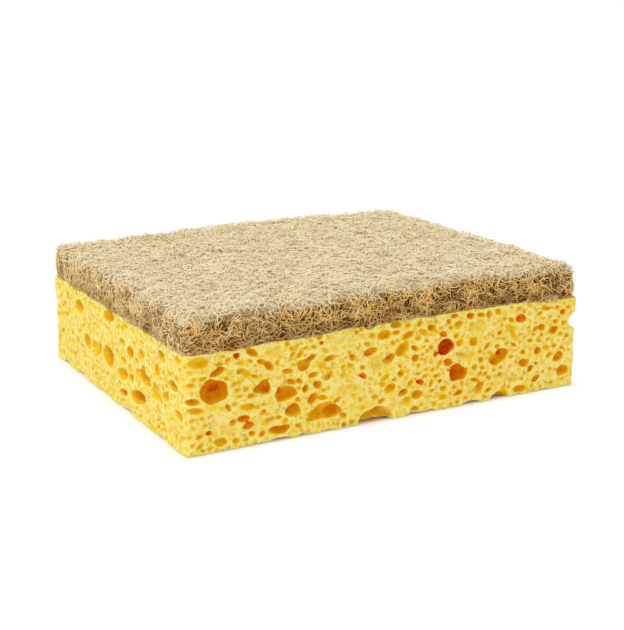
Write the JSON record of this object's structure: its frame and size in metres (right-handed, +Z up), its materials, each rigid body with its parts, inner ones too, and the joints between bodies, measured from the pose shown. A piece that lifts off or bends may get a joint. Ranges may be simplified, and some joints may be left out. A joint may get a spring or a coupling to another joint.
{
  "type": "scrub sponge",
  "caption": "Rectangular open-pore cellulose sponge block with a fibrous scouring pad bonded over its whole top.",
  "frame": {"origin": "middle of the block's underside", "axes": "+X along the long side, +Z up from the block's underside to the pad; the long side with the large round pores faces -Y"},
  "size_m": [0.11, 0.09, 0.0334],
  "materials": {
    "cellulose": "matte, damp-looking yellow foam with orange pores",
    "plant_fibre": "matte tan fibre web"
  },
  "bodies": {
    "root": {"sponge_block": "cellulose", "scouring_pad": "plant_fibre"}
  },
  "joints": []
}
